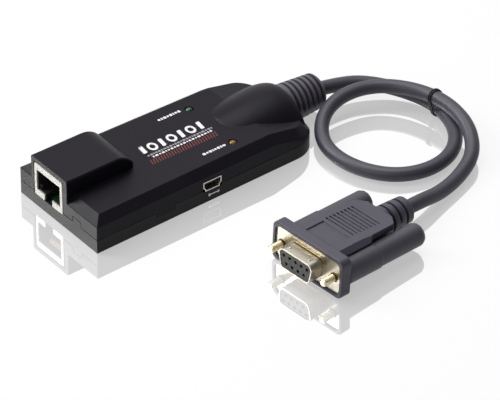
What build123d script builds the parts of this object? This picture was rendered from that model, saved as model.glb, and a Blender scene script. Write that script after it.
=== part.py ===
from build123d import *
import math
import os

os.makedirs("parts", exist_ok=True)

# Serial adapter module with a tethered nine-way plug.
# Millimetres. +X runs from the jack end to the cable end, +Z is up, the table is z = 0.

# Housing
LENGTH = 98.0
HALF_FRONT = 22.0
HALF_REAR = 20.4
CORNER = 11.0
SLOPE_DEG = 12.0
SEAM_Z = 5.25
WALL_TOP = 10.6
TOP_Z = 13.2
BEVEL_IN = 3.3
WALL = 2.0
FLOOR = 1.8
ROOF = 2.0
SEAM_V = 0.22
X_FRONT = -LENGTH / 2
X_REAR = LENGTH / 2
SLOPE_FROM = X_REAR - 21.0
NARROWING = (HALF_FRONT - HALF_REAR) / LENGTH
REACH = LENGTH

# Raised block over the jack
HOOD_NEAR = -5.0
HOOD_FAR = 15.4
HOOD_TOP = 19.8
HOOD_FLAT_END = X_FRONT + 20.6
HOOD_ARC = 9.0
HOOD_CORNER = 3.4
FAR_CORNER = 2.5

# Cable outlet: hump, bore and boot share one axis
OUT_Y = -0.3
OUT_Z = 7.65
HUMP_Y = -0.7
HUMP_END = X_REAR - 2.6
BOOT_BACK = HUMP_END + 0.15
BOOT_END = X_REAR + 13.4
BOOT_R0 = 7.6
BOOT_R1 = 6.5
NOTCH_R = BOOT_R0 + 0.12
GROOVES = 6
GROOVE_WIDE = 1.16
BRIDGE_WIDE = 2.3
BRIDGES = (107.0, -73.0)
FIRST_GROOVE = HUMP_END + 2.65
LAST_GROOVE = BOOT_END - 1.9
NECK_R = 4.8
COLLAR_R = 6.1
COLLAR_X0 = X_REAR - 6.2
COLLAR_X1 = X_REAR - 3.6
CABLE_D = 5.2
CABLE_R = CABLE_D / 2

# Circuit board
BOARD_Z0 = 3.0
BOARD_T = 1.6
BOARD_TOP = BOARD_Z0 + BOARD_T
BOARD_GAP = 0.6

# Jack
JACK_Y0 = -2.3
JACK_Y1 = 13.6
JACK_Z0 = BOARD_TOP
JACK_Z1 = 17.7
JACK_DEPTH = 20.7
JACK_MID = (JACK_Y0 + JACK_Y1) / 2
JACK_GAP = 0.3
PORT_Y0 = JACK_Y0 + 1.4
PORT_Y1 = JACK_Y1 - 1.3
PORT_Z0 = JACK_Z0 + 4.3
PORT_Z1 = JACK_Z1 - 2.5
PORT_DEEP = 13.5
STEP_IN = 1.25
STEP_Z0 = JACK_Z0 + 2.4
CATCH_IN = 3.3
CATCH_DEEP = 11.0
PEG_X = 9.0
PEG_IN = 2.4
PEG_R = 1.1

# Mini USB socket
USB_X = 0.25
USB_W = 7.7
USB_H = 3.9
USB_DEPTH = 9.2
USB_PROUD = 0.054
USB_Y = -(HALF_FRONT - NARROWING * (USB_X - X_FRONT)) - USB_PROUD
USB_SHEET = 0.35

# Lamps
LAMP_R = 1.5
LAMP_FAR = (X_REAR - 33.9, 11.3)
LAMP_NEAR = (X_REAR - 33.8, -13.3)
LAMP_Z0 = BOARD_TOP + 3.8
LAMP_FLANGE_R = 1.85
LAMP_FLANGE_T = 0.9
LAMP_SHOULDER = TOP_Z - 1.1

# Pieces on the board: the header stands before the boot's collar, the controller behind the side socket
HDR_X = COLLAR_X0 - 12.8
HDR_T = 1.9
HDR_HALF = 6.3
CONTROLLER_X = USB_X + 1.75
CONTROLLER_Y = 1.5
CONTROLLER_L = 10.2
CONTROLLER_W = 5.4
DRIVER_X = CONTROLLER_X - 17.0
DRIVER_Y = -9.0
CRYSTAL_L = 10.0
CRYSTAL_W = 4.0
CRYSTAL_X = (CONTROLLER_X + CONTROLLER_L / 2 + HDR_X - HDR_T) / 2 - 0.6
CRYSTAL_Y = CONTROLLER_Y + 3.1
CAN_R = 2.4
CAN_X = (X_FRONT + JACK_DEPTH + CONTROLLER_X - CONTROLLER_L / 2) / 2 - 3.3

# Housing screws
SCREWS = [(X_FRONT + 15.0, -HALF_FRONT + 7.4), (X_REAR - 22.0, HALF_REAR - 6.4)]
SCREW_R = 1.1
HEAD_R = 2.4

# Plug, laid out in its own frame: x to its rear, y across, z up, origin at the flange's face
PLUG_AT = (-1.58, -75.35, 7.78)
PLUG_YAW = 4.94
PLUG_PITCH = 2.5
FLANGE_W = 30.81
FLANGE_H = 12.55
SHEET = 0.8
RIM = 1.3
RIM_T = 3.5
SHROUD_OUT = 6.0
SHROUD_W = 16.33
SHROUD_H = 7.9
SHROUD_WALL = 0.5
SCREW_SPACING = 24.99
THREAD_R = 1.42
SHAFT_NECK_R = 1.15
TIP_OUT = 5.5
KNOB_R = 4.5
GRIP_R = 4.2
GRIP_X0 = 18.8
SCREW_DROP = 0.3
KNOB_X0 = RIM_T + 0.1
KNOB_X1 = 39.6
HOOD_HALF = 11.4
HOOD_HALF_H = 6.6
HOOD_FLANK = 1.9
HOOD_BACK = 30.5
HOOD_STEP = 19.0
HOOD_FALL = 0.8
GRIPS = 8
GRIP_LINE_X0 = 14.6
GRIP_PITCH = 1.7
GRIP_WIDE = 0.8
GRIP_DEPTH = 0.6
RELIEF_R = 5.4
RELIEF_END = 45.5
PIN_PITCH = 2.77
ROW_PITCH = 2.84

# Wire tie round the loop
TIE_Y = -31.0
TIE_W = 1.6
TIE_T = 0.45
TIE_GAP = 0.12
TIE_FROM_X = X_REAR + 31.0

# Route of the free cable, its x measured from the housing's rear end
ROUTE = [
    (BOOT_END - X_REAR, OUT_Y, OUT_Z),
    (22.2, OUT_Y - 0.4, OUT_Z - 1.15),
    (32.2, -4.6, 5.5),
    (41.8, -15.3, 3.6),
    (45.4, -29.6, 3.3),
    (41.5, -43.6, 2.9),
    (32.0, -53.2, 2.65),
    (19.6, -56.2, 2.65),
    (8.0, -52.3, 2.65),
    (0.5, -42.9, 2.65),
    (-2.4, -31.1, 2.75),
    (-0.3, -19.7, 3.5),
    (7.7, -11.3, 6.5),
    (19.8, -8.4, 8.1),
    (32.3, -11.4, 7.9),
    (40.6, -21.7, 8.3),
    (43.6, -35.6, 9.1),
    (42.0, -49.4, 7.5),
    (35.4, -59.9, 4.4),
    (24.2, -65.4, 2.8),
    (12.5, -68.8, 3.0),
    (2.5, -70.8, 5.2),
]

made = {}


def block(x0, x1, y0, y1, z0, z1):
    return Pos((x0 + x1) / 2, (y0 + y1) / 2, (z0 + z1) / 2) * Box(x1 - x0, y1 - y0, z1 - z0)


def rod_x(x0, x1, r, y=0.0, z=0.0):
    return Pos((x0 + x1) / 2, y, z) * Rot(0, 90, 0) * Cylinder(r, x1 - x0)


def rod_z(x, y, z0, z1, r):
    return Pos(x, y, (z0 + z1) / 2) * Cylinder(r, z1 - z0)


def turned_x(points, y=0.0, z=0.0):
    # points are (x, radius); the profile is closed along the axis
    loop = [(points[0][0], 0.0)] + list(points) + [(points[-1][0], 0.0)]
    wire = Polyline(*[(px, 0.0, pr) for px, pr in loop], close=True)
    body = revolve(make_face(wire), axis=Axis.X, revolution_arc=360)
    return Pos(0, y, z) * body


def save(name, shape):
    solids = shape.solids()
    if len(solids) == 1:
        out = solids[0]
    else:
        out = Compound(children=list(solids))
    made[name] = out
    export_step(out, f"parts/{name}.step")


def outline(inset):
    # plan of the housing, drawn in by an even amount
    yf = HALF_FRONT - inset - NARROWING * inset
    yr = HALF_REAR - inset + NARROWING * inset
    xf = X_FRONT + inset
    xr = X_REAR - inset
    face = make_face(Polyline((xf, -yf), (xr, -yr), (xr, yr), (xf, yf), close=True))
    rear = face.vertices().filter_by(lambda v: v.X > 0)
    return fillet(rear, max(CORNER - inset, 1.0))


def slab(inset, z0, z1):
    return Pos(0, 0, z0) * extrude(outline(inset), z1 - z0)


def bevelled(inset, z0, z1, across, down):
    body = slab(inset, z0, z1)
    top = body.faces().sort_by(Axis.Z)[-1]
    return chamfer(top.edges(), length=across, length2=down, reference=top)


def sloped(inset, top, across, down):
    # a bevelled cap, tipped down toward the rear about a line across the top
    out = 12.0
    ratio = down / across
    cap = bevelled(inset - out, -60.0, top, across + out, (across + out) * ratio)
    return Pos(SLOPE_FROM, 0, TOP_Z) * Rot(0, SLOPE_DEG, 0) * Pos(-SLOPE_FROM, 0, -TOP_Z) * cap


# Outer volume
main = bevelled(0.0, 0.0, TOP_Z, BEVEL_IN, TOP_Z - WALL_TOP)
main = main & sloped(0.0, TOP_Z, BEVEL_IN, TOP_Z - WALL_TOP)

# The raised block: its side profile cut by its plan
arc_end = HOOD_FLAT_END + HOOD_ARC * math.sin(math.acos(1 - (HOOD_TOP - TOP_Z) / HOOD_ARC))
arc_turn = math.acos(1 - (HOOD_TOP - TOP_Z + 0.6) / HOOD_ARC)


def hood_side(inset, z_low):
    top = HOOD_TOP - inset
    r = HOOD_ARC - inset
    start = (HOOD_FLAT_END, 0, top)
    mid = (HOOD_FLAT_END + r * math.sin(arc_turn / 2), 0, top - r * (1 - math.cos(arc_turn / 2)))
    end = (HOOD_FLAT_END + r * math.sin(arc_turn), 0, top - r * (1 - math.cos(arc_turn)))
    x0 = X_FRONT + inset
    edges = [
        Line((x0, 0, z_low), (x0, 0, top)),
        Line((x0, 0, top), start),
        ThreePointArc(start, mid, end),
        Line(end, (end[0], 0, z_low)),
        Line((end[0], 0, z_low), (x0, 0, z_low)),
    ]
    return extrude(make_face(Wire(edges)), amount=60, dir=(0, 1, 0), both=True)


def hood_solid(inset, z_low):
    side = hood_side(inset, z_low)
    rear = arc_end - inset + 0.25
    x0 = X_FRONT + inset
    plan = make_face(Polyline((x0, HOOD_NEAR + inset), (rear, HOOD_NEAR + inset),
                              (rear, HOOD_FAR - inset), (x0, HOOD_FAR - inset), close=True))
    near_corner = plan.vertices().filter_by(lambda v: v.X > X_FRONT + 9 and v.Y < 0)
    plan = fillet(near_corner, max(HOOD_CORNER - inset, 1.0))
    far_corner = plan.vertices().filter_by(lambda v: v.X > X_FRONT + 9 and v.Y > HOOD_FAR - inset - 0.01)
    plan = fillet(far_corner, max(FAR_CORNER - inset, 0.6))
    column = Pos(0, 0, z_low) * extrude(plan, 30)
    return side & column


hood = hood_solid(0.0, 6.0)
near_top = []
for e in hood.edges():
    at = e.center()
    if abs(at.Z - HOOD_TOP) < 0.01 and abs(at.X - (X_FRONT + 10)) < 1.0:
        near_top.append(e)
hood = fillet(near_top, 0.8)

# The hump over the cable outlet, turned about a line at table height
# Points are (distance in front of the rear end, radius)
HUMP = [(30.8, 12.9), (30.55, 13.35), (29.6, 13.95), (28.0, 14.6), (26.0, 15.15), (23.5, 15.65),
        (19.5, 16.15), (14.5, 16.5), (9.5, 16.6), (6.0, 16.35), (4.0, 15.95), (X_REAR - HUMP_END, 15.4)]
hump_line = Spline(*[(X_REAR - back, 0.0, pr) for back, pr in HUMP])
hump_face = make_face(Wire([
    Line((X_REAR - HUMP[0][0], 0, 0), (X_REAR - HUMP[0][0], 0, HUMP[0][1])),
    hump_line,
    Line((HUMP_END, 0, HUMP[-1][1]), (HUMP_END, 0, 0)),
    Line((HUMP_END, 0, 0), (X_REAR - HUMP[0][0], 0, 0)),
]))
hump = Pos(0, HUMP_Y, 0) * revolve(hump_face, axis=Axis.X, revolution_arc=360)
hump = hump & block(-REACH, REACH, -REACH, REACH, SEAM_Z, REACH) & slab(0.0, 0, REACH)

upper_cut = block(-REACH, REACH, -REACH, REACH, SEAM_Z, REACH)
lower_cut = block(-REACH, REACH, -REACH, REACH, -1, SEAM_Z)

upper = (main & upper_cut) + hood + hump
lower = main & lower_cut

# Hollow insides
cavity_top = TOP_Z - ROOF
cavity = bevelled(WALL, FLOOR, cavity_top, 1.3, 1.0)
cavity = cavity & sloped(WALL, cavity_top, 1.3, 1.0)
upper = upper - (cavity & upper_cut)
lower = lower - (cavity & lower_cut)
hood_room = hood_solid(2.0, 8.0)
upper = upper - (hood_room & block(-REACH, 0, -REACH, REACH, SEAM_Z, REACH))
room_line = [(X_REAR - 26.0, 12.0), (X_REAR - 23.5, 13.3), (X_REAR - 19.0, 13.9), (COLLAR_X0 - 1.6, 14.2)]
hump_room = turned_x(room_line, HUMP_Y, 0)
upper = upper - (hump_room & slab(WALL, SEAM_Z, REACH))

# Bulkhead behind the boot's collar, in both halves
bulk = block(COLLAR_X0 - 1.6, X_REAR - WALL + 0.1, OUT_Y - NOTCH_R - 1.5, OUT_Y + NOTCH_R + 1.5,
             FLOOR - 0.1, 14.0)
bulk_up = bulk & ((main & upper_cut) + hump)
bulk_low = bulk & main & lower_cut
upper = upper + bulk_up
lower = lower + bulk_low
neck_hole = rod_x(COLLAR_X1 - 1.0, X_REAR + 2.0, NECK_R, OUT_Y, OUT_Z)
collar_hole = rod_x(COLLAR_X0, COLLAR_X1, COLLAR_R, OUT_Y, OUT_Z)
inner_hole = rod_x(COLLAR_X0 - 3.0, COLLAR_X0 + 0.1, 4.4, OUT_Y, OUT_Z)
# The boot's root stands in a notch that is open below
notch = rod_x(HUMP_END, X_REAR + 2.0, NOTCH_R, OUT_Y, OUT_Z)
notch = notch + block(HUMP_END, X_REAR + 2.0, OUT_Y - NOTCH_R, OUT_Y + NOTCH_R, -1.0, OUT_Z)
outlet = neck_hole + collar_hole + inner_hole + notch
upper = upper - outlet
lower = lower - outlet

# Lap joint: a lip on the lower half, a rebate in the upper half
lip = slab(1.05, SEAM_Z, SEAM_Z + 1.0) - slab(WALL, SEAM_Z - 1, SEAM_Z + 3)
rebate = slab(1.0, SEAM_Z, SEAM_Z + 1.1) - slab(WALL + 0.05, SEAM_Z - 1, SEAM_Z + 3)
keep_lip = block(X_FRONT + 6, COLLAR_X0 - 3.0, -REACH, REACH, 0, REACH)
keep_lip = keep_lip - block(USB_X - 6.5, USB_X + 6.5, -REACH, 0, 0, REACH)
lip = lip & keep_lip
rebate = rebate & keep_lip
lower = lower + lip
upper = upper - rebate

# Jack opening
jack_hole = block(X_FRONT - 1, X_FRONT + 5, JACK_Y0 - JACK_GAP, JACK_Y1 + JACK_GAP,
                  JACK_Z0, JACK_Z1 + JACK_GAP)
upper = upper - jack_hole
lower = lower - jack_hole
jack_room = block(X_FRONT + 1.9, X_FRONT + JACK_DEPTH + 2.5, JACK_Y0 - 0.7, JACK_Y1 + 0.5,
                  JACK_Z0, JACK_Z1 + 0.1)
upper = upper - jack_room

# USB opening, through the near wall
usb_hole = block(USB_X - USB_W / 2 - 0.25, USB_X + USB_W / 2 + 0.25, USB_Y - 2.75, USB_Y + 3.25, BOARD_TOP,
                 BOARD_TOP + USB_H + 0.35)
upper = upper - usb_hole
lower = lower - usb_hole

# Lamp holes
for lx, ly in (LAMP_FAR, LAMP_NEAR):
    upper = upper - rod_z(lx, ly, 8, 16, LAMP_R + 0.1)

# Tongue of the lower half let up into the upper half at the front
TONGUE_Y0 = -12.8
TONGUE_Y1 = -8.2
TONGUE_UP = 2.15
TONGUE_GAP = 0.15
tongue = block(X_FRONT, X_FRONT + 1.2, TONGUE_Y0, TONGUE_Y1, SEAM_Z - 0.01, SEAM_Z + TONGUE_UP)
tongue_hole = block(X_FRONT - 1, X_FRONT + 1.2 + TONGUE_GAP, TONGUE_Y0 - TONGUE_GAP, TONGUE_Y1 + TONGUE_GAP,
                    SEAM_Z - 0.5, SEAM_Z + TONGUE_UP + TONGUE_GAP)
upper = upper - tongue_hole
lower = lower + tongue

# Tongues of the upper half let down into the lower half at both sides
tab_x0 = X_FRONT + 25.4
tab_x1 = X_FRONT + 33.2
for side in (-1, 1):
    skin = slab(0.0, 0, 20) - slab(1.0, -1, 21)
    tab = skin & block(tab_x0, tab_x1, min(side * 10, side * REACH), max(side * 10, side * REACH),
                       SEAM_Z - 1.65, SEAM_Z + 0.01)
    hole_skin = slab(-0.5, 0, 20) - slab(1.12, -1, 21)
    hole = hole_skin & block(tab_x0 - TONGUE_GAP, tab_x1 + TONGUE_GAP, min(side * 10, side * REACH),
                             max(side * 10, side * REACH), SEAM_Z - 1.65 - TONGUE_GAP, SEAM_Z + 0.5)
    upper = upper + tab
    lower = lower - hole

# Screw bosses
for sx, sy in SCREWS:
    lower = lower + rod_z(sx, sy, FLOOR - 0.1, BOARD_Z0, 2.8)
    lower = lower - rod_z(sx, sy, -1, BOARD_Z0 + 1, SCREW_R + 0.25)
    lower = lower - rod_z(sx, sy, -1, 1.5, HEAD_R + 0.15)
    upper = upper + rod_z(sx, sy, BOARD_TOP, cavity_top + 0.1, 2.6)
    upper = upper - rod_z(sx, sy, BOARD_TOP - 1, cavity_top - 1.0, SCREW_R)
# Board rests, two under the far front and the near rear
RESTS = [(X_FRONT + 11.0, HALF_FRONT - 5.5), (USB_X - 8.25, -HALF_FRONT + 6.0),
         (USB_X - 8.25, HALF_FRONT - 7.0), (X_REAR - 19.0, -HALF_REAR + 6.4)]
for rx, ry in RESTS:
    lower = lower + rod_z(rx, ry, FLOOR - 0.1, BOARD_Z0, 1.6)
    upper = upper + rod_z(rx, ry, BOARD_TOP, cavity_top + 0.1, 1.4)

# A fine V along the seam
vee = slab(-1.0, SEAM_Z - SEAM_V, SEAM_Z + SEAM_V) - slab(0.18, SEAM_Z - 2, SEAM_Z + 2)
vee = vee - block(X_FRONT - 2, X_FRONT + 2, TONGUE_Y0 - 0.7, TONGUE_Y1 + 0.7, 0, REACH)
vee = vee - block(tab_x0 - 0.4, tab_x1 + 0.4, -REACH, REACH, 0, REACH)
upper = upper - vee

save("upper_shell", upper)
save("lower_shell", lower)

# Circuit board
board = slab(WALL + BOARD_GAP, BOARD_Z0, BOARD_TOP)
board = board - block(COLLAR_X0 - 2.4, REACH, -REACH, REACH, 0, 10)
board = board - block(-REACH, X_FRONT + WALL + BOARD_GAP, -REACH, REACH, 0, 10)
for sx, sy in SCREWS:
    board = board - rod_z(sx, sy, 0, 10, SCREW_R + 0.25)
LEAD = 0.25
lead_spots = []
for lx, ly in (LAMP_FAR, LAMP_NEAR):
    for dx in (-1.27, 1.27):
        lead_spots.append((lx + dx, ly))
for px, py in lead_spots:
    board = board - block(px - LEAD, px + LEAD, py - LEAD, py + LEAD, 0, 10)

# Jack: block, cavity with its latch slot, eight spring contacts
jx0 = X_FRONT
jx1 = X_FRONT + JACK_DEPTH
jack = block(jx0, jx1, JACK_Y0, JACK_Y1, JACK_Z0, JACK_Z1)
jack = jack - block(jx0 - 1, jx0 + PORT_DEEP, PORT_Y0, PORT_Y1, PORT_Z0, PORT_Z1)
jack = jack - block(jx0 - 1, jx0 + PORT_DEEP, PORT_Y0 + STEP_IN, PORT_Y1 - STEP_IN, STEP_Z0, PORT_Z0 + 0.1)
jack = jack - block(jx0 - 1, jx0 + CATCH_DEEP, PORT_Y0 + STEP_IN + CATCH_IN,
                    PORT_Y1 - STEP_IN - CATCH_IN + 0.25, JACK_Z0 - 1, STEP_Z0 + 0.1)
jack = jack - block(jx0 - 1, jx0 + 1.1, PORT_Y0, PORT_Y1, STEP_Z0, PORT_Z0 + 0.1)
jack = jack - block(jx0 + CATCH_DEEP + 1.0, jx1 + 1, PORT_Y0 + 1.7, PORT_Y1 - 1.7, JACK_Z0 - 1, STEP_Z0 - 0.4)
jack = chamfer(jack.edges().filter_by(Axis.X).sort_by(Axis.Z)[-2:], 0.5)
for py in (JACK_Y0 + PEG_IN, JACK_Y1 - PEG_IN):
    jack = jack + rod_z(jx0 + PEG_X, py, BOARD_Z0 - 0.9, JACK_Z0 + 0.1, PEG_R)
    board = board - rod_z(jx0 + PEG_X, py, 0, 10, PEG_R)
save("jack_housing", jack)

contacts = None
for k in range(8):
    cy = JACK_MID + (k - 3.5) * 1.02
    wire = Polyline((jx0 + PORT_DEEP, cy, PORT_Z0 + 0.7), (jx0 + 3.4, cy, PORT_Z1 - 1.3),
                    (jx0 + 2.6, cy, PORT_Z1))
    section = Plane(origin=wire @ 0, z_dir=wire % 0, x_dir=(0, 1, 0)) * Rectangle(0.46, 0.34)
    spring = sweep(section, path=wire, transition=Transition.RIGHT)
    spring = spring & block(jx0 - 1, jx0 + PORT_DEEP, cy - 1, cy + 1, STEP_Z0, PORT_Z1)
    contacts = spring if contacts is None else contacts + spring
save("jack_contacts", contacts)

# Mini USB socket: folded shell, tongue, contacts
ux0 = USB_X - USB_W / 2
ux1 = USB_X + USB_W / 2
uz0 = BOARD_TOP
uz1 = BOARD_TOP + USB_H


def usb_profile(inset):
    t = inset
    pts = [(ux0 + t, uz1 - t), (ux1 - t, uz1 - t), (ux1 - t, uz0 + 1.5 + 0.2 * t),
           (ux1 - 0.75 - t, uz0 + 0.9), (ux1 - 0.75 - t, uz0 + t), (ux0 + 0.75 + t, uz0 + t),
           (ux0 + 0.75 + t, uz0 + 0.9), (ux0 + t, uz0 + 1.5 + 0.2 * t)]
    face = make_face(Polyline(*[(px, USB_Y, pz) for px, pz in pts], close=True))
    return face


usb = extrude(usb_profile(0.0), amount=USB_DEPTH, dir=(0, 1, 0))
usb = usb - extrude(usb_profile(USB_SHEET), amount=USB_DEPTH - 0.4, dir=(0, 1, 0))
save("usb_shell", usb)
tongue_u = block(USB_X - 2.6, USB_X + 2.6, USB_Y + 1.2, USB_Y + USB_DEPTH - 0.4, uz0 + 1.95, uz0 + 2.9)
back_u = block(USB_X - 2.7, USB_X + 2.7, USB_Y + 7.4, USB_Y + USB_DEPTH - 0.4, uz0 + USB_SHEET,
               uz1 - USB_SHEET)
save("usb_tongue", tongue_u + back_u)
usb_pins = None
for k in range(5):
    cx = USB_X + (k - 2) * 0.8
    pin = block(cx - 0.2, cx + 0.2, USB_Y + 1.5, USB_Y + 7.4, uz0 + 1.8, uz0 + 1.95)
    usb_pins = pin if usb_pins is None else usb_pins + pin
save("usb_contacts", usb_pins)

# Lamps on their wire legs
for name, (lx, ly) in (("link_lamp", LAMP_FAR), ("power_lamp", LAMP_NEAR)):
    lens = rod_z(lx, ly, LAMP_Z0, LAMP_Z0 + LAMP_FLANGE_T, LAMP_FLANGE_R)
    lens = lens + rod_z(lx, ly, LAMP_Z0 + LAMP_FLANGE_T - 0.1, LAMP_SHOULDER, LAMP_R)
    lens = lens + (Pos(lx, ly, LAMP_SHOULDER) * Sphere(LAMP_R))
    save(name, lens)
    legs = None
    for dx in (-1.27, 1.27):
        leg = block(lx + dx - LEAD, lx + dx + LEAD, ly - LEAD, ly + LEAD, BOARD_Z0, LAMP_Z0)
        legs = leg if legs is None else legs + leg
    save(name + "_legs", legs)


def chip(name, cx, cy, length, width, height, pins, pitch):
    body = block(cx - length / 2, cx + length / 2, cy - width / 2, cy + width / 2, BOARD_TOP + 0.1,
                 BOARD_TOP + 0.1 + height)
    body = chamfer(body.edges().filter_by(Axis.X).sort_by(Axis.Z)[-2:], 0.25)
    save(name, body)
    legs_all = None
    for side in (-1, 1):
        for k in range(pins):
            x = cx + (k - (pins - 1) / 2) * pitch
            y_in = cy + side * width / 2
            y_mid = cy + side * (width / 2 + 0.55)
            y_out = cy + side * (width / 2 + 1.15)
            mid_z = BOARD_TOP + 0.1 + height / 2
            a = block(x - 0.15, x + 0.15, min(y_in, y_mid), max(y_in, y_mid), mid_z - 0.1, mid_z + 0.1)
            b = block(x - 0.15, x + 0.15, y_mid - 0.1, y_mid + 0.1, BOARD_TOP, mid_z + 0.1)
            c = block(x - 0.15, x + 0.15, min(y_mid, y_out), max(y_mid, y_out), BOARD_TOP, BOARD_TOP + 0.2)
            leg = a + b + c
            legs_all = leg if legs_all is None else legs_all + leg
    save(name + "_legs", legs_all)


chip("controller_chip", CONTROLLER_X, CONTROLLER_Y, CONTROLLER_L, CONTROLLER_W, 1.75, 14, 0.65)
chip("line_driver_chip", DRIVER_X, DRIVER_Y, 9.9, 3.9, 1.5, 8, 1.27)

crystal = block(CRYSTAL_X - CRYSTAL_L / 2, CRYSTAL_X + CRYSTAL_L / 2, CRYSTAL_Y - CRYSTAL_W / 2,
                CRYSTAL_Y + CRYSTAL_W / 2, BOARD_TOP, BOARD_TOP + 3.2)
crystal = fillet(crystal.edges().filter_by(Axis.Z), CRYSTAL_W / 2 - 0.1)
save("crystal_can", crystal)

cap = rod_z(CAN_X, 4.0, BOARD_TOP, BOARD_TOP + 5.2, CAN_R)
cap = fillet(cap.edges().sort_by(Axis.Z)[-1], 0.35)
save("smoothing_capacitor", cap)

small = None
CAP_L = 1.6
CAP_W = 0.8
near_controller = [(-8.0, -8.0), (-5.0, -8.0), (9.0, -7.5), (9.0, -10.5), (-8.0, 7.0), (6.0, 7.5)]
spots = [(CONTROLLER_X + dx, CONTROLLER_Y + dy) for dx, dy in near_controller]
spots += [(X_FRONT + 27.0, -HALF_FRONT + 7.0), (HDR_X - 10.0, OUT_Y - 3.7)]
for cx, cy in spots:
    piece = block(cx - CAP_L / 2, cx + CAP_L / 2, cy - CAP_W / 2, cy + CAP_W / 2, BOARD_TOP,
                  BOARD_TOP + CAP_W)
    small = piece if small is None else small + piece
save("ceramic_capacitors", small)

# Header for the cable's leads
header = block(HDR_X - HDR_T, HDR_X + HDR_T, OUT_Y - HDR_HALF, OUT_Y + HDR_HALF, BOARD_TOP, BOARD_TOP + 3.4)
save("cable_header", header)

# Boot: ribbed outside, a neck through the wall and a collar behind it
boot = turned_x([(BOOT_BACK, BOOT_R0), (BOOT_END - 0.8, BOOT_R1), (BOOT_END, BOOT_R1 - 0.8)], OUT_Y, OUT_Z)
boot = boot + rod_x(COLLAR_X1 - 0.1, BOOT_BACK + 0.1, NECK_R, OUT_Y, OUT_Z)
boot = boot + rod_x(COLLAR_X0, COLLAR_X1, COLLAR_R, OUT_Y, OUT_Z)
pitch = (LAST_GROOVE - FIRST_GROOVE) / (GROOVES - 1)
for k in range(GROOVES):
    gx = FIRST_GROOVE + pitch * k
    ring = rod_x(gx - GROOVE_WIDE / 2, gx + GROOVE_WIDE / 2, 12.0, OUT_Y, OUT_Z)
    ring = ring - rod_x(gx - GROOVE_WIDE, gx + GROOVE_WIDE, NECK_R - 0.1, OUT_Y, OUT_Z)
    for middle in BRIDGES:
        # a bridge left across the slot, at an angle from the top toward the near side
        rib = Pos(0, 0, 7.0) * Box(2 * GROOVE_WIDE, BRIDGE_WIDE, 14.0)
        ring = ring - (Pos(gx, OUT_Y, OUT_Z) * Rot(middle, 0, 0) * rib)
    boot = boot - ring
save("cable_boot", boot)

# Inner end of the cable and its leads
inner_end = COLLAR_X0 - 5.0
tail = rod_x(inner_end, COLLAR_X0, CABLE_R, OUT_Y, OUT_Z)
save("cable_inner_end", tail)
leads = None
for k in range(5):
    ly = OUT_Y + (k - 2) * 0.95
    hy = OUT_Y + (k - 2) * 2.2
    lz = OUT_Z + (0.9 if k % 2 else -0.3)
    start = (inner_end, ly, lz)
    path = FilletPolyline(start, (inner_end - 1.5, ly, lz), (HDR_X + 3.2, hy, BOARD_TOP + 4.6),
                          (HDR_X, hy, BOARD_TOP + 4.6), (HDR_X, hy, BOARD_TOP + 3.4), radius=0.5)
    lead = sweep(Plane(origin=path @ 0, z_dir=path % 0) * Circle(0.42), path=path)
    leads = lead if leads is None else leads + lead
save("cable_leads", leads)

# Screws
for name, (sx, sy) in zip(("housing_screw_front", "housing_screw_rear"), SCREWS):
    head = rod_z(sx, sy, 0.3, 1.5, HEAD_R)
    head = head - (Pos(sx, sy, 0.3) * Box(2.6, 0.6, 1.2)) - (Pos(sx, sy, 0.3) * Box(0.6, 2.6, 1.2))
    save(name, head + rod_z(sx, sy, 1.4, cavity_top - 1.6, SCREW_R))

save("circuit_board", board)

# Plug
place = Pos(*PLUG_AT) * Rot(0, 0, PLUG_YAW) * Rot(0, PLUG_PITCH, 0)


def plug_save(name, shape):
    save(name, place * shape)


def dee(width, height, x, depth, corner):
    # wide side up, flanks drawn in by ten degrees
    low = width / 2 - height * math.tan(math.radians(10))
    face = make_face(Polyline((x, -width / 2, height / 2), (x, width / 2, height / 2), (x, low, -height / 2),
                              (x, -low, -height / 2), close=True))
    body = extrude(face, amount=depth, dir=(1, 0, 0))
    return fillet(body.edges().filter_by(lambda e: abs((e % 0.5).X) > 0.99), corner)


def plate(width, height, x0, x1, corner):
    body = block(x0, x1, -width / 2, width / 2, -height / 2, height / 2)
    return fillet(body.edges().filter_by(Axis.X), corner)


def both(make):
    out = None
    for side in (-1, 1):
        piece = make(side * SCREW_SPACING / 2)
        out = piece if out is None else out + piece
    return out


SCREW_HOLE = 1.75
ins_w = SHROUD_W - 2 * SHROUD_WALL
ins_h = SHROUD_H - 2 * SHROUD_WALL
front_shell = plate(FLANGE_W, FLANGE_H, 0.0, SHEET, 2.5)
front_shell = front_shell + dee(SHROUD_W, SHROUD_H, -SHROUD_OUT, SHROUD_OUT + 0.1, 2.2)
front_shell = front_shell - dee(ins_w, ins_h, -SHROUD_OUT - 1, SHROUD_OUT + SHEET + 2, 1.7)
front_shell = front_shell - both(lambda y: rod_x(-1, 2, SCREW_HOLE, y, -SCREW_DROP))
front_shell = front_shell + block(-0.35, 0.1, -7.4, 7.4, 4.55, 5.15)
for dy in (-4.6, 4.6):
    front_shell = front_shell + (Pos(-4.0, dy, SHROUD_H / 2 - 0.05) * Sphere(0.45))
    front_shell = front_shell - dee(ins_w, ins_h, -SHROUD_OUT - 1, SHROUD_OUT + SHEET + 2, 1.7)
plug_save("plug_front_shell", front_shell)

REAR_T = 0.6
CORE_X1 = RIM_T - 0.1
rear_x1 = SHEET + REAR_T
rear_shell = plate(FLANGE_W, FLANGE_H, SHEET, rear_x1, 2.5)
rear_shell = rear_shell + dee(18.6, 10.2, SHEET, CORE_X1 - SHEET, 2.4)
rear_shell = rear_shell - dee(17.8, 9.4, SHEET - 1, 8.0, 2.0)
rear_shell = rear_shell - both(lambda y: rod_x(-1, 4, SCREW_HOLE, y, -SCREW_DROP))
plug_save("plug_rear_shell", rear_shell)

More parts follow.
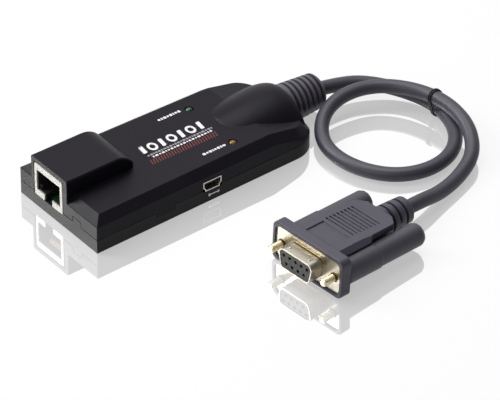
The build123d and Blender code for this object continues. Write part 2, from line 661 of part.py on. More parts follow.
insulator = dee(ins_w, ins_h, -SHROUD_OUT + 0.15, SHROUD_OUT - 0.15 + SHEET, 1.7)
insulator = insulator + dee(17.8, 9.4, SHEET, CORE_X1 - SHEET, 2.0)
sockets = None
spots = [((k - 2) * PIN_PITCH, ROW_PITCH / 2) for k in range(5)]
spots += [((k - 1.5) * PIN_PITCH, -ROW_PITCH / 2) for k in range(4)]
for sy, sz in spots:
    insulator = insulator - rod_x(-SHROUD_OUT - 1, -4.4, 0.62, sy, sz)
    insulator = insulator - rod_x(-4.5, 8.0, 0.95, sy, sz)
    tube = rod_x(-4.5, 6.6, 0.95, sy, sz) - rod_x(-5, 1.5, 0.55, sy, sz)
    tube = tube - block(4.9, 7.0, sy - 0.6, sy + 0.6, sz, sz + 2.0)
    sockets = tube if sockets is None else sockets + tube
plug_save("plug_insulator", insulator)
plug_save("plug_contacts", sockets)

# Moulded hood with its rim, knob hollows, label recess and finger grooves
rim = plate(FLANGE_W + 2 * RIM, FLANGE_H + 2 * RIM, -0.5, RIM_T, 2.4)
rim = fillet(rim.faces().sort_by(Axis.X)[0].edges(), 0.35)
TAIL_X = HOOD_BACK + 2.6
plan_line = [(RIM_T - 0.2, -HOOD_HALF), (HOOD_STEP - 1.0, -HOOD_HALF), (HOOD_STEP + 0.8, -HOOD_HALF + 1.5),
             (HOOD_BACK, -HOOD_HALF + 2.2), (TAIL_X, -RELIEF_R - 0.4), (TAIL_X, RELIEF_R + 0.4),
             (HOOD_BACK, HOOD_HALF - 2.2), (HOOD_STEP + 0.8, HOOD_HALF - 1.5), (HOOD_STEP - 1.0, HOOD_HALF),
             (RIM_T - 0.2, HOOD_HALF)]
side_line = [(RIM_T - 0.2, 0, -HOOD_HALF_H), (HOOD_BACK - 2.0, 0, -HOOD_HALF_H + 1.2),
             (TAIL_X, 0, -RELIEF_R - 0.2), (TAIL_X, 0, RELIEF_R + 0.2),
             (HOOD_BACK - 2.0, 0, HOOD_HALF_H - HOOD_FALL), (HOOD_STEP - 4.0, 0, HOOD_HALF_H),
             (RIM_T - 0.2, 0, HOOD_HALF_H)]
body_plan = make_face(Polyline(*plan_line, close=True))
body_side = make_face(Polyline(*side_line, close=True))
hood_body = Pos(0, 0, -10) * extrude(body_plan, 20)
hood_body = hood_body & extrude(body_side, amount=20, dir=(0, 1, 0), both=True)
hw = HOOD_HALF + 0.2
fh = HOOD_HALF_H + 0.2
fl = HOOD_FLANK + 0.2
section = make_face(Polyline((0, -hw, -fh + fl), (0, -hw + fl, -fh), (0, hw - fl, -fh), (0, hw, -fh + fl),
                             (0, hw, fh - fl), (0, hw - fl, fh), (0, -hw + fl, fh), (0, -hw, fh - fl),
                             close=True))
hood_body = hood_body & extrude(section, amount=60, dir=(1, 0, 0))
hood_body = hood_body - both(lambda y: rod_x(RIM_T, 45, KNOB_R + 0.4, y, -SCREW_DROP))
plug_hood = rim + hood_body
plug_hood = plug_hood - plate(FLANGE_W, FLANGE_H, -1.0, rear_x1, 2.5)
plug_hood = plug_hood - dee(18.6, 10.2, rear_x1 - 0.2, CORE_X1 - rear_x1 + 0.2, 2.4)
plug_hood = plug_hood - block(CORE_X1 - 0.1, 12.0, -6.8, 6.8, -4.2, 4.2)
RING_X0 = rear_x1 + 0.05
RING_X1 = RING_X0 + 0.5
POCKET_X1 = 2.9
RING_OUT = 2.3
plug_hood = plug_hood - both(lambda y: rod_x(rear_x1 - 0.1, POCKET_X1, RING_OUT + 0.2, y, -SCREW_DROP))
plug_hood = plug_hood - both(lambda y: rod_x(POCKET_X1 - 0.1, RIM_T + 1, SHAFT_NECK_R + 0.25, y, -SCREW_DROP))
recess = block(4.6, 12.8, -6.4, 6.3, HOOD_HALF_H - 0.42, HOOD_HALF_H + 2)
plug_hood = plug_hood - recess
for k in range(GRIPS):
    gx = GRIP_LINE_X0 + k * GRIP_PITCH
    # the hood's top falls away behind the step, and the grooves' floors follow it
    fall = HOOD_FALL * max(0.0, gx - (HOOD_STEP - 4.0)) / (HOOD_BACK - 2.0 - (HOOD_STEP - 4.0))
    low = HOOD_HALF_H - fall - GRIP_DEPTH
    plug_hood = plug_hood - block(gx - GRIP_WIDE / 2, gx + GRIP_WIDE / 2, -6.4, 6.9, low, HOOD_HALF_H + 2)
plug_save("plug_hood", plug_hood)

# Ribbed strain relief at the plug's tail
relief = turned_x([(TAIL_X, RELIEF_R), (RELIEF_END - 0.6, RELIEF_R - 0.5), (RELIEF_END, RELIEF_R - 1.1)])
for k in range(3):
    gx = HOOD_BACK + 5.0 + k * 3.2
    ring = rod_x(gx - 0.55, gx + 0.55, 9.0) - rod_x(gx - 0.6, gx + 0.6, 3.5)
    for middle in ((128.0, -52.0) if k % 2 == 0 else (100.0, -80.0)):
        ring = ring - (Pos(gx, 0, 0) * Rot(middle, 0, 0) * Pos(0, 0, 5.0) * Box(1.4, 2.0, 10.0))
    relief = relief - ring
plug_save("plug_strain_relief", relief)

# Thumbscrews: knob, shaft and retaining ring, one set each side
for name, y in (("near", -SCREW_SPACING / 2), ("far", SCREW_SPACING / 2)):
    drop = -SCREW_DROP
    knob_line = [(KNOB_X0, KNOB_R - 0.4), (KNOB_X0 + 0.4, KNOB_R), (GRIP_X0 - 0.5, KNOB_R),
                 (GRIP_X0, GRIP_R), (KNOB_X1 - 1.8, GRIP_R), (KNOB_X1 - 0.7, GRIP_R - 0.5),
                 (KNOB_X1, GRIP_R - 1.6)]
    knob = turned_x(knob_line, y, drop)
    knob = knob - rod_x(KNOB_X0 - 1, KNOB_X0 + 9.0, SHAFT_NECK_R + 0.2, y, drop)
    knob = knob - block(KNOB_X1 - 0.9, KNOB_X1 + 1, y - 0.5, y + 0.5, -6, 6)
    plug_save(f"thumbscrew_knob_{name}", knob)
    shaft = rod_x(KNOB_X0 + 0.0, KNOB_X0 + 9.0, SHAFT_NECK_R + 0.2, y, drop)
    shaft = shaft + rod_x(-1.0, KNOB_X0 + 0.1, SHAFT_NECK_R, y, drop)
    groove = [(-TIP_OUT, THREAD_R - 0.45), (-TIP_OUT + 0.45, THREAD_R)]
    x = -TIP_OUT + 0.9
    while x < -1.3:
        groove += [(x, THREAD_R), (x + 0.16, THREAD_R - 0.22), (x + 0.32, THREAD_R)]
        x += 0.635
    groove += [(-0.6, THREAD_R), (-0.5, SHAFT_NECK_R)]
    shaft = shaft + turned_x(groove, y, drop)
    plug_save(f"thumbscrew_shaft_{name}", shaft)
    ring = rod_x(RING_X0, RING_X1, RING_OUT, y, drop)
    ring = ring - rod_x(RING_X0 - 1, RING_X1 + 1, SHAFT_NECK_R + 0.05, y, drop)
    plug_save(f"retaining_ring_{name}", ring)
    at = (place * Pos(RING_X0, y, drop)).position
    along = (place * Pos(RING_X0 + 1, y, drop)).position - at
    print(f"thumbscrew {name}: point {at.X / 1000:.6f} {at.Y / 1000:.6f} {at.Z / 1000:.6f}",
          f"axis {along.X:.6f} {along.Y:.6f} {along.Z:.6f}")

# Free cable
end_point = (place * Pos(RELIEF_END, 0, 0)).position
before_end = (place * Pos(RELIEF_END + 8.0, 0, 0)).position
points = [Vector(X_REAR + px, py, pz) for px, py, pz in ROUTE[:-1]] + [before_end, end_point]
radii = []
for a, m, e in zip(points, points[1:], points[2:]):
    into = m - a
    out = e - m
    turn = math.radians(into.get_angle(out))
    radii.append(0.45 * min(into.length, out.length) / math.tan(turn / 2))
print("cable bend radii:", [round(r, 1) for r in radii])
print("cable runs:", [round((q - p).length, 1) for p, q in zip(points, points[1:])])
print("cable points:", [(round(p.X, 2), round(p.Y, 2), round(p.Z, 2)) for p in points])
line = FilletPolyline(*points, radius=radii)
tube = sweep(Plane(origin=line @ 0, z_dir=line % 0) * Circle(CABLE_R), path=line)
print("cable length:", round(line.length, 1), "volume ratio:",
      round(tube.volume / (math.pi * CABLE_R ** 2 * line.length), 4))
save("cable", tube)

# Wire tie that holds the loop's two strands together
def crossing(low, high, y):
    best = None
    for i in range(low, high):
        q = line @ (i / 2000.0)
        if q.X > TIE_FROM_X and (best is None or abs(q.Y - y) < abs(best.Y - y)):
            best = q
    return Vector(best.X, y, best.Z)


first = crossing(0, 1000, TIE_Y)
second = crossing(1000, 2000, TIE_Y)
span = (second - first).length
print("tie between", first, second, "apart", round(span, 2))
middle = (first + second) * 0.5
across = Plane(origin=middle, x_dir=second - first, z_dir=(0, -1, 0))
slot_out = extrude(across * SlotCenterToCenter(span, 2 * (CABLE_R + TIE_GAP + TIE_T)), amount=TIE_W / 2,
                   both=True)
slot_in = extrude(across * SlotCenterToCenter(span, 2 * (CABLE_R + TIE_GAP)), amount=TIE_W, both=True)
save("cable_tie", slot_out - slot_in)

for name, shape in made.items():
    box = shape.bounding_box()
    print(f"{name}: {shape.volume:.1f} mm3, x {box.min.X:.2f}..{box.max.X:.2f},",
          f"y {box.min.Y:.2f}..{box.max.Y:.2f}, z {box.min.Z:.2f}..{box.max.Z:.2f},",
          f"solids {len(shape.solids())}, valid {shape.is_valid}")
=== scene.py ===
import math

import bpy
from mathutils import Matrix, Vector


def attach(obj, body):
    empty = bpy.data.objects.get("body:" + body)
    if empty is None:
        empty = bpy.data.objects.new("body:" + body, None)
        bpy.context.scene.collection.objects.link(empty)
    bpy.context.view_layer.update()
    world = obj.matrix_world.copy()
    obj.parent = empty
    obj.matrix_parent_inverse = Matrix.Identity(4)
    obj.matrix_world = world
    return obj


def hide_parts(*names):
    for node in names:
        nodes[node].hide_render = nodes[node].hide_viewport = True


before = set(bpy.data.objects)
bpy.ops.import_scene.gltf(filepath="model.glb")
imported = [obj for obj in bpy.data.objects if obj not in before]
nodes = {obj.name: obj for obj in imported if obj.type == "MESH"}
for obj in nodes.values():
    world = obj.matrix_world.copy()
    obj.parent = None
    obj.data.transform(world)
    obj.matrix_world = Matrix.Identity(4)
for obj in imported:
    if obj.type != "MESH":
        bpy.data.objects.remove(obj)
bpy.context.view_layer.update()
bpy.ops.object.select_all(action="DESELECT")
bpy.context.scene.view_settings.view_transform = "Standard"

# ---- The view
# A long lens well above the table, turned toward the jack end and the near side, as a catalogue
# picture is taken.
az = math.radians(38.39)
down = math.radians(36.44)
roll = math.radians(0.48)
forward = Vector((math.sin(az) * math.cos(down), math.cos(az) * math.cos(down), -math.sin(down)))
right = Vector((math.cos(az), -math.sin(az), 0.0))
below = forward.cross(right)
image_x = right * math.cos(roll) - below * math.sin(roll)
image_y = right * math.sin(roll) + below * math.cos(roll)
lens_data = bpy.data.cameras.new("view")
lens_data.sensor_width = 36.0
lens_data.lens = 288.0
lens_data.clip_end = 20.0
camera = bpy.data.objects.new("view", lens_data)
bpy.context.scene.collection.objects.link(camera)
turn = Matrix((image_x, -image_y, -forward)).transposed().to_4x4()
camera.matrix_world = Matrix.Translation((-0.67151, -0.88971, 0.81051)) @ turn
bpy.context.scene.camera = camera


# ---- The cable
# A 5.2 mm round cable in a soft slate-grey jacket. It leaves the boot, makes one loop on the table,
# lies over its own first turn and ends in the plug.
class Wire:
    """One output of a shader node, on which sums can be written."""

    def __init__(self, finish, out):
        self.finish = finish
        self.out = out

    def sum_of(self, operation, a, b):
        return self.finish.add("ShaderNodeMath", {"operation": operation}, {0: a, 1: b})

    def __add__(self, other):
        return self.sum_of("ADD", self, other)

    def __radd__(self, other):
        return self.sum_of("ADD", other, self)

    def __sub__(self, other):
        return self.sum_of("SUBTRACT", self, other)

    def __mul__(self, other):
        return self.sum_of("MULTIPLY", self, other)

    def __rmul__(self, other):
        return self.sum_of("MULTIPLY", other, self)


class Finish:
    """A material under construction, with its principled shader."""

    def __init__(self, name, **fixed):
        self.material = bpy.data.materials.new(name)
        self.material.use_nodes = True
        self.tree = self.material.node_tree
        self.shader = self.tree.nodes["Principled BSDF"]
        self.place = self.add("ShaderNodeTexCoord", {}, {}, "Object")
        for socket, value in fixed.items():
            self.shader.inputs[socket.replace("_", " ")].default_value = value

    def add(self, kind, settings, inputs, output=0):
        node = self.tree.nodes.new(kind)
        for key, value in settings.items():
            setattr(node, key, value)
        for key, value in inputs.items():
            if isinstance(value, Wire):
                self.tree.links.new(value.out, node.inputs[key])
            else:
                node.inputs[key].default_value = value
        return Wire(self, node.outputs[output])

    def to(self, socket, wire):
        self.tree.links.new(wire.out, self.shader.inputs[socket])

    def noise(self, scale, detail=3.0, rough=0.5, stretch=(1.0, 1.0, 1.0)):
        where = self.place
        if stretch != (1.0, 1.0, 1.0):
            where = self.add("ShaderNodeMapping", {}, {"Vector": self.place, "Scale": stretch})
        inputs = {"Vector": where, "Scale": scale, "Detail": detail, "Roughness": rough}
        return self.add("ShaderNodeTexNoise", {}, inputs, "Fac")

    def blend(self, factor, low, high):
        # a colour that goes from low to high
        return self.add("ShaderNodeMix", {"data_type": "RGBA"}, {0: factor, 6: low, 7: high}, 2)

    def relief(self, height, depth, soft_edge=0.0):
        # fine surface height in metres, on edges rounded by soft_edge
        inputs = {"Height": height, "Distance": depth, "Strength": 1.0}
        if soft_edge:
            inputs["Normal"] = self.add("ShaderNodeBevel", {"samples": 6}, {"Radius": soft_edge})
        self.to("Normal", self.add("ShaderNodeBump", {}, inputs))


def dress(finish, *names):
    for name in names:
        slots = nodes[name].data.materials
        slots.clear()
        slots.append(finish.material)


def moulded(name, dark, light, rough, grain, depth, edge, **fixed):
    # moulded plastic or rubber: two near tones, a fine spark-eroded grain and softened edges
    finish = Finish(name, **fixed)
    cloud = finish.noise(90.0, 3.0)
    finish.tint = finish.blend(cloud, dark, light)
    finish.to("Base Color", finish.tint)
    spark = finish.noise(grain, 2.0, 0.6)
    finish.to("Roughness", rough - 0.05 + 0.1 * cloud + 0.06 * spark)
    finish.relief(spark, depth, edge)
    return finish


jacket = moulded("cable_jacket", (0.034, 0.032, 0.044, 1), (0.045, 0.043, 0.057, 1), 0.42, 2600.0,
                 0.000018, 0.0, Specular_IOR_Level=0.36)
route = [
    (62.4, -0.3, 7.65), (71.2, -0.7, 6.5), (81.2, -4.6, 5.5), (90.8, -15.3, 3.6), (94.4, -29.6, 3.3),
    (90.5, -43.6, 2.9), (81.0, -53.2, 2.65), (68.6, -56.2, 2.65), (57.0, -52.3, 2.65), (49.5, -42.9, 2.65),
    (46.6, -31.1, 2.75), (48.7, -19.7, 3.5), (56.7, -11.3, 6.5), (68.8, -8.4, 8.1), (81.3, -11.4, 7.9),
    (89.6, -21.7, 8.3), (92.6, -35.6, 9.1), (91.0, -49.4, 7.5), (84.4, -59.9, 4.4), (73.2, -65.4, 2.8),
    (61.5, -68.8, 3.0), (51.67, -70.75, 5.45), (43.71, -71.44, 5.8),
]
line = bpy.data.curves.new("cable_line", "CURVE")
line.dimensions = "3D"
line.resolution_u = 10
spline = line.splines.new("NURBS")
spline.points.add(len(route) - 1)
for point, (x, y, z) in zip(spline.points, route):
    point.co = (x / 1000, y / 1000, z / 1000, 1.0)
spline.order_u = 3
spline.use_endpoint_u = True
cable = bpy.data.objects.new("looped_cable", line)
bpy.context.scene.collection.objects.link(cable)
bare = bpy.data.meshes.new_from_object(cable)
track = [v.co.copy() for v in bare.vertices]
bpy.data.meshes.remove(bare)
CABLE_R = 0.0026
line.bevel_depth = CABLE_R
line.bevel_resolution = 7
line.use_fill_caps = True
line.materials.append(jacket.material)
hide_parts("cable")
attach(cable, "adapter")


# ---- The wire tie
# A black plastic-coated wire, wound twice round the loop's two strands and twisted off at one side.
# It takes its place from the strands where they cross its plane.
tie_black = moulded("tie_coating", (0.004, 0.004, 0.005, 1), (0.008, 0.008, 0.010, 1), 0.38, 3000.0,
                    0.000008, 0.0, Specular_IOR_Level=0.4)


def strand_at(points, y):
    for a, b in zip(points, points[1:]):
        if a.x > 0.08 and (a.y - y) * (b.y - y) <= 0 and a.y != b.y:
            return a.lerp(b, (y - a.y) / (b.y - a.y))
    return None


TIE_Y = -0.0305
half = len(track) // 2
low_strand = strand_at(track[:half], TIE_Y)
high_strand = strand_at(track[half:], TIE_Y)
middle = (low_strand + high_strand) / 2
rise = (high_strand - low_strand).normalized()
side = Vector((0, -1, 0)).cross(rise).normalized()
reach = (high_strand - low_strand).length / 2
wire_r = 0.00026
around = CABLE_R + wire_r + 0.00004
turns = []
steps = 56
WINDS = 2
for k in range(steps * WINDS + 1):
    angle = 2 * math.pi * k / steps
    c, s = math.cos(angle), math.sin(angle)
    # a slot shape: half circles about each strand, joined by straight sides
    up = reach * (1 if s > 0.02 else -1 if s < -0.02 else s / 0.02)
    lean = -0.0007 + 0.0016 * (k / (steps * WINDS)) + 0.0005 * s
    turns.append(middle + side * (around * c) + rise * (up + around * s) + Vector((0, lean, 0)))
tie_line = bpy.data.curves.new("tie_line", "CURVE")
tie_line.dimensions = "3D"
tie_line.bevel_depth = wire_r
tie_line.bevel_resolution = 4
tie_line.use_fill_caps = True


def lay(points):
    run = tie_line.splines.new("NURBS")
    run.points.add(len(points) - 1)
    for point, co in zip(run.points, points):
        point.co = (co.x, co.y, co.z, 1.0)
    run.order_u = 3
    run.use_endpoint_u = True
    run.resolution_u = 4


lay(turns)
root = middle - side * (around + wire_r * 1.2) + rise * 0.0006
for phase in (0.0, math.pi):
    tail = []
    for k in range(19):
        t = k / 18
        swing = phase + t * 4 * math.pi
        core = root + Vector((-0.0004, -0.0052, -0.0012)) * t - side * 0.0004 * math.sin(math.pi * t)
        apart = side * math.cos(swing) + rise * math.sin(swing)
        tail.append(core + apart * (wire_r * 1.05))
    lay(tail)
tie = bpy.data.objects.new("wire_tie", tie_line)
bpy.context.scene.collection.objects.link(tie)
tie_line.materials.append(tie_black.material)
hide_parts("cable_tie")
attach(tie, "adapter")


# ---- The housing
# Two black injection-moulded shells with a fine satin texture. The lid carries the raised block over
# the jack and the hump over the cable; the tray closes it from below with a lap joint.
shell = moulded("housing_black", (0.0042, 0.0030, 0.0060, 1), (0.0064, 0.0048, 0.0088, 1), 0.38, 1900.0,
                0.000020, 0.00045, Specular_IOR_Level=0.11)
dress(shell, "upper_shell")
tray = moulded("tray_black", (0.0060, 0.0060, 0.0062, 1), (0.0090, 0.0090, 0.0090, 1), 0.42, 1900.0, 0.000020,
               0.0003, Specular_IOR_Level=0.16)
dress(tray, "lower_shell")


# ---- The printed marks
# Screen-printed ink on the lid and on the tray's side: plain strokes, rings and ticks in white,
# grey and red-brown, about two hundredths of a millimetre thick.
def ink(name, tone, worn):
    finish = Finish(name, Specular_IOR_Level=0.3)
    patch = finish.noise(900.0, 4.0, 0.6)
    finish.to("Base Color", finish.blend(patch, tone, worn))
    finish.to("Roughness", 0.5 + 0.2 * patch)
    finish.relief(patch, 0.000006)
    return finish


white_ink = ink("ink_white", (0.74, 0.74, 0.75, 1), (0.50, 0.50, 0.52, 1))
grey_ink = ink("ink_grey", (0.26, 0.26, 0.28, 1), (0.17, 0.17, 0.19, 1))
red_ink = ink("ink_red_brown", (0.19, 0.032, 0.024, 1), (0.11, 0.022, 0.018, 1))
TOP = 0.0132
INK = 0.00002


def stroke(x, y, wide, tall, slant=0.0):
    # one flat printed bar on the lid, its corners eased
    bpy.ops.mesh.primitive_cube_add(size=1.0, location=(x, y, TOP + INK / 2 - 0.000002))
    bar = bpy.context.object
    bar.scale = (wide, tall, INK)
    bpy.ops.object.transform_apply(location=True, rotation=False, scale=True)
    for v in bar.data.vertices:
        v.co.x += (v.co.y - y) * slant
    bpy.ops.object.mode_set(mode="EDIT")
    bpy.ops.mesh.select_all(action="DESELECT")
    bpy.ops.object.mode_set(mode="OBJECT")
    for e in bar.data.edges:
        a, b = (bar.data.vertices[i].co for i in e.vertices)
        e.select = abs(a.z - b.z) > INK * 0.5
    bpy.ops.object.mode_set(mode="EDIT")
    bpy.ops.mesh.select_mode(type="EDGE")
    bpy.ops.mesh.bevel(offset=min(wide, tall) * 0.25, segments=2)
    bpy.ops.object.mode_set(mode="OBJECT")
    return bar


def ring(x, y, wide, tall):
    # one flat printed ring
    bpy.ops.mesh.primitive_torus_add(major_radius=0.5, minor_radius=0.15, major_segments=28, minor_segments=4,
                                     location=(x, y, TOP + INK / 2))
    loop = bpy.context.object
    loop.scale = (wide / 1.3, tall / 1.3, INK)
    bpy.ops.object.transform_apply(location=True, rotation=False, scale=True)
    return loop


def printed(name, finish, pieces):
    bpy.ops.object.select_all(action="DESELECT")
    for piece in pieces:
        piece.select_set(True)
    bpy.context.view_layer.objects.active = pieces[0]
    bpy.ops.object.join()
    mark = bpy.context.object
    mark.name = name
    mark.data.name = name
    bpy.ops.object.transform_apply(location=True, rotation=True, scale=True)
    mark.data.materials.clear()
    mark.data.materials.append(finish.material)
    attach(mark, "adapter")
    bpy.ops.object.select_all(action="DESELECT")
    return mark


marks = []
for k in range(7):
    x = -0.0124 + k * 0.0041
    if k % 2 == 0:
        marks.append(stroke(x, 0.0013, 0.0015, 0.0044, 0.12))
    else:
        marks.append(ring(x, 0.0013, 0.0037, 0.0046))
WIDTHS = [0.0010, 0.0006, 0.0012, 0.0008, 0.0011, 0.0005, 0.0009]


def row(x0, x1, y, tall, gap, first):
    # a line of small bars of uneven width
    bars = []
    x, k = x0, first
    while x < x1:
        w = WIDTHS[k % len(WIDTHS)]
        bars.append(stroke(x + w / 2, y, w, tall * (1.0 if k % 3 else 0.8)))
        x += w + gap
        k += 1
    return bars


marks += row(0.0024, 0.0118, 0.0123, 0.0012, 0.00034, 0) + row(0.0024, 0.0118, -0.0131, 0.0012, 0.00034, 2)
marks += row(-0.0118, 0.0130, -0.0037, 0.00085, 0.00042, 1)
printed("white_marks", white_ink, marks)
printed("grey_marks", grey_ink, row(-0.0130, 0.0142, -0.0023, 0.0010, 0.00030, 3))
ticks = []
for k in range(26):
    ticks.append(stroke(-0.0140 + k * 0.00110, -0.0060, 0.00036, 0.0027, 0.25))
printed("red_ticks", red_ink, ticks)
# the mark under the side socket stands on the tray's near wall
side_marks = [stroke(0.0010, 0.0, 0.0030, 0.00045), stroke(-0.0010, 0.0, 0.0009, 0.0011),
              stroke(0.0029, 0.0, 0.0007, 0.0010)]
for bar in side_marks:
    for v in bar.data.vertices:
        x, y, z = v.co
        v.co = (x, -0.02122 - (z - TOP) - 0.000012 + (x - 0.00025) * 0.0163, 0.00255 + y)
printed("side_mark", white_ink, side_marks)


# ---- The jack
# An eight-way modular jack in glossy ivory plastic, pushed up to the front wall, with eight
# gold-plated spring wires hanging from the roof of its mouth.
ivory = moulded("jack_ivory", (0.36, 0.35, 0.305, 1), (0.42, 0.41, 0.36, 1), 0.30, 1400.0, 0.00001, 0.00025,
                Specular_IOR_Level=0.4)
# painted shade: the mouth is painted dark behind the ivory face, where shade falls inside, fully so from 0.8
# mm in
along = ivory.add("ShaderNodeSeparateXYZ", {}, {0: ivory.place}, 0)
deep = ivory.add("ShaderNodeMapRange", {"interpolation_type": "SMOOTHSTEP"},
                 {0: along, 1: -0.04895, 2: -0.0482, 3: 0.0, 4: 1.0})
ivory.to("Base Color", ivory.blend(deep, ivory.tint, (0.012, 0.013, 0.012, 1)))
dress(ivory, "jack_housing")


def plated(name, tone, shade, rough, depth=0.000004, **fixed):
    # bright plated metal: drawn lines, faint tarnish
    finish = Finish(name, Metallic=1.0, **fixed)
    drawn = finish.noise(700.0, 2.0, 0.5, (1.0, 9.0, 9.0))
    stain = finish.noise(160.0, 4.0)
    finish.tint = finish.blend(stain, tone, shade)
    finish.to("Base Color", finish.tint)
    finish.to("Roughness", rough + 0.12 * drawn + 0.08 * stain)
    finish.relief(drawn, depth, 0.00012)
    return finish


gold = plated("gold_plate", (0.94, 0.72, 0.36, 1), (0.78, 0.55, 0.24, 1), 0.16)
dress(gold, "jack_contacts", "usb_contacts", "plug_contacts")


# ---- The side socket
# A five-way mini USB socket: a folded, tin-plated steel shell with a keyed lower edge, and a
# brown plastic tongue inside.
tin = plated("tin_plate", (0.80, 0.79, 0.76, 1), (0.62, 0.61, 0.58, 1), 0.20)
dress(tin, "usb_shell", "plug_rear_shell", "retaining_ring_near", "retaining_ring_far", "crystal_can")
brown = moulded("tongue_brown", (0.10, 0.050, 0.030, 1), (0.15, 0.075, 0.045, 1), 0.45, 1800.0, 0.00001,
                0.0001, Specular_IOR_Level=0.4)
dress(brown, "usb_tongue")


# ---- The lamps
# Two 3 mm lamps, a green one by the far edge and an amber one by the near edge. Each domed lens
# stands a little above the lid on two tinned legs.
def lens(name, deep, bright):
    finish = Finish(name, Roughness=0.14, Coat_Weight=0.25, Coat_Roughness=0.03, Specular_IOR_Level=0.35)
    cloud = finish.noise(500.0, 2.0)
    finish.to("Base Color", finish.blend(cloud, deep, bright))
    finish.relief(cloud, 0.00002)
    return finish


dress(lens("lens_green", (0.001, 0.022, 0.010, 1), (0.002, 0.060, 0.024, 1)), "link_lamp")
dress(lens("lens_amber", (0.085, 0.040, 0.002, 1), (0.17, 0.088, 0.004, 1)), "power_lamp")
dress(tin, "link_lamp_legs", "power_lamp_legs", "controller_chip_legs", "line_driver_chip_legs")


# ---- The board and what stands on it
# A green glass-fibre board with two black chips, a crystal in a steel can, an electrolytic
# capacitor, small ceramic capacitors, and the header that takes the cable's leads.
laminate = Finish("board_green", Specular_IOR_Level=0.45, Coat_Weight=0.3, Coat_Roughness=0.15)
weave = laminate.add("ShaderNodeTexWave", {"wave_type": "BANDS", "bands_direction": "DIAGONAL"},
                     {"Vector": laminate.place, "Scale": 420.0, "Distortion": 1.5, "Detail": 1.0}, "Fac")
laminate.to("Base Color", laminate.blend(weave, (0.006, 0.075, 0.028, 1), (0.010, 0.115, 0.042, 1)))
laminate.to("Roughness", 0.32 + 0.1 * weave)
laminate.relief(weave, 0.00001)
dress(laminate, "circuit_board")
resin = moulded("chip_resin", (0.010, 0.010, 0.011, 1), (0.018, 0.018, 0.019, 1), 0.55, 2400.0, 0.00002,
                0.0001, Specular_IOR_Level=0.35)
dress(resin, "controller_chip", "line_driver_chip")
can = plated("capacitor_can", (0.72, 0.73, 0.76, 1), (0.60, 0.61, 0.64, 1), 0.28)
dress(can, "smoothing_capacitor")
fired = moulded("capacitor_ceramic", (0.33, 0.22, 0.12, 1), (0.42, 0.30, 0.18, 1), 0.6, 1500.0, 0.00001,
                0.00008)
dress(fired, "ceramic_capacitors")
nylon = moulded("header_nylon", (0.70, 0.69, 0.63, 1), (0.76, 0.75, 0.70, 1), 0.42, 1500.0, 0.00001, 0.0002)
dress(nylon, "cable_header")
lead = moulded("lead_red", (0.26, 0.020, 0.016, 1), (0.34, 0.030, 0.022, 1), 0.40, 1800.0, 0.00001, 0.0)
dress(lead, "cable_leads")
dress(jacket, "cable_inner_end")
zinc = plated("screw_zinc", (0.30, 0.30, 0.31, 1), (0.22, 0.22, 0.23, 1), 0.30)
dress(zinc, "housing_screw_front", "housing_screw_rear")


# ---- The boot
# A ribbed sleeve of soft dark grey plastic, moulded round the cable. Six slots, each bridged at two
# places, let it bend; its collar is trapped between the shells.
boot = moulded("boot_rubber", (0.064, 0.060, 0.074, 1), (0.080, 0.075, 0.092, 1), 0.46, 2200.0, 0.00002,
               0.00025, Specular_IOR_Level=0.36)
dress(boot, "cable_boot")


# ---- The plug
# A nine-way D-shaped plug: pale stamped flange and shroud, black insulator with nine sockets, and
# a slate-grey moulded hood with a rim, finger grooves and a ribbed tail.
flange = plated("flange_gold", (0.50, 0.475, 0.41, 1), (0.43, 0.39, 0.30, 1), 0.22, 0.0000012)
# painted shade and reflection: a dark brown band is painted where the shroud is drawn out of the flange, by
# the distance before the flange
AXIS = Vector((0.995337, 0.086031, -0.043619))
FLANGE_AT = Vector((-0.00158, -0.07535, 0.00778))
before = flange.add("ShaderNodeVectorMath", {"operation": "DOT_PRODUCT"}, {0: flange.place, 1: AXIS}, "Value")
before = before - AXIS.dot(FLANGE_AT)
root_shade = flange.add("ShaderNodeMapRange", {"interpolation_type": "SMOOTHSTEP"},
                       {0: before, 1: -0.0016, 2: -0.0005, 3: 0.0, 4: 1.0})
clear_face = flange.add("ShaderNodeMapRange", {"interpolation_type": "SMOOTHSTEP"},
                        {0: before, 1: -0.0002, 2: -0.00005, 3: 1.0, 4: 0.0})
# the painted shade and reflection band darkens the flange's tint near the shroud's root
flange.to("Base Color", flange.blend(root_shade * clear_face, flange.tint, (0.26, 0.21, 0.13, 1)))
dress(flange, "plug_front_shell")
insulator = moulded("insulator_black", (0.013, 0.015, 0.013, 1), (0.020, 0.022, 0.019, 1), 0.42, 2000.0,
                    0.000006, 0.0001, Specular_IOR_Level=0.28)
dress(insulator, "plug_insulator")
hood = moulded("hood_slate", (0.037, 0.034, 0.050, 1), (0.050, 0.046, 0.066, 1), 0.44, 2100.0, 0.00002,
               0.0005, Specular_IOR_Level=0.38)
dress(hood, "plug_hood", "plug_strain_relief")


# ---- The thumbscrews
# Two long slate-grey knobs moulded on gold-plated 4-40 screws. Each screw turns in a retaining
# ring that keeps it in the hood's ear.
knob = moulded("knob_slate", (0.042, 0.039, 0.052, 1), (0.053, 0.050, 0.065, 1), 0.42, 2100.0, 0.00002,
               0.0004, Specular_IOR_Level=0.38)
dress(knob, "thumbscrew_knob_near", "thumbscrew_knob_far")
pale_gold = plated("screw_gold", (0.84, 0.77, 0.58, 1), (0.68, 0.54, 0.31, 1), 0.20)
dress(pale_gold, "thumbscrew_shaft_near", "thumbscrew_shaft_far")


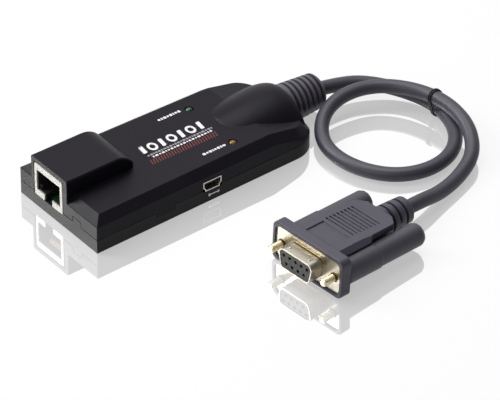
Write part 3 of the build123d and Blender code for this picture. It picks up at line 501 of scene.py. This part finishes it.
# ---- The table and the light
# A white glossy table top that fades into a white surround, under one broad overhead light and two
# smaller ones, at the left and at the left behind.
bpy.ops.mesh.primitive_plane_add(size=6.0, location=(0.0, 0.0, 0.0))
table = bpy.context.object
table.name = "table_top"
top = bpy.data.materials.new("table_white")
top.use_nodes = True
tree = top.node_tree
tree.nodes.clear()
out = tree.nodes.new("ShaderNodeOutputMaterial")
matt = tree.nodes.new("ShaderNodeBsdfDiffuse")
matt.inputs["Color"].default_value = (0.9, 0.9, 0.9, 1)
glow = tree.nodes.new("ShaderNodeEmission")
glow.inputs["Strength"].default_value = 1.13
gloss = tree.nodes.new("ShaderNodeBsdfAnisotropic")
gloss.inputs["Roughness"].default_value = 0.02
first = tree.nodes.new("ShaderNodeMixShader")
first.inputs[0].default_value = 0.22
second = tree.nodes.new("ShaderNodeMixShader")
second.inputs[0].default_value = 0.47
tree.links.new(glow.outputs[0], first.inputs[1])
tree.links.new(matt.outputs[0], first.inputs[2])
tree.links.new(first.outputs[0], second.inputs[1])
tree.links.new(gloss.outputs[0], second.inputs[2])
tree.links.new(second.outputs[0], out.inputs["Surface"])
table.data.materials.append(top)

world = bpy.data.worlds.new("surround")
bpy.context.scene.world = world
world.use_nodes = True
sky = world.node_tree
back = sky.nodes["Background"]
back.inputs["Color"].default_value = (1, 1, 1, 1)


def sky_node(kind, settings, inputs, output=0):
    node = sky.nodes.new(kind)
    for key, value in settings.items():
        setattr(node, key, value)
    for key, value in inputs.items():
        if isinstance(value, bpy.types.NodeSocket):
            sky.links.new(value, node.inputs[key])
        else:
            node.inputs[key].default_value = value
    return node.outputs[output]


# white to the eye everywhere; as a light it is bright behind the table and dim in front of it
direction = sky_node("ShaderNodeTexCoord", {}, {}, "Generated")
toward_back = sky_node("ShaderNodeSeparateXYZ", {}, {0: direction}, 1)
behind = sky_node("ShaderNodeMapRange", {"interpolation_type": "SMOOTHSTEP"},
                  {0: toward_back, 1: -0.35, 2: 0.45, 3: 0.22, 4: 1.0})
rays = sky_node("ShaderNodeLightPath", {}, {}).node
mirrored = sky_node("ShaderNodeMath", {"operation": "MAXIMUM"},
                    {0: rays.outputs["Is Glossy Ray"], 1: rays.outputs["Is Transmission Ray"]})
share = sky_node("ShaderNodeMapRange", {}, {0: mirrored, 3: 0.5, 4: 1.0})
lighting = sky_node("ShaderNodeMath", {"operation": "MULTIPLY"}, {0: behind, 1: share})
level = sky_node("ShaderNodeMath", {"operation": "MAXIMUM"}, {0: lighting, 1: rays.outputs["Is Camera Ray"]})
sky.links.new(level, back.inputs["Strength"])


def softbox(name, place, size, watts, aim=(0.02, -0.03, 0.0)):
    lamp = bpy.data.lights.new(name, "AREA")
    lamp.shape = "RECTANGLE"
    lamp.size, lamp.size_y = size
    lamp.energy = watts
    body = bpy.data.objects.new(name, lamp)
    bpy.context.scene.collection.objects.link(body)
    body.location = place
    body.rotation_euler = (Vector(aim) - Vector(place)).to_track_quat("-Z", "Y").to_euler()


softbox("overhead", (0.05, 0.25, 0.95), (0.9, 0.7), 9.0)
softbox("left_side", (-0.85, -0.35, 0.55), (0.5, 0.5), 1.8)
softbox("left_back", (-0.45, 0.55, 0.58), (0.35, 0.35), 6.0)
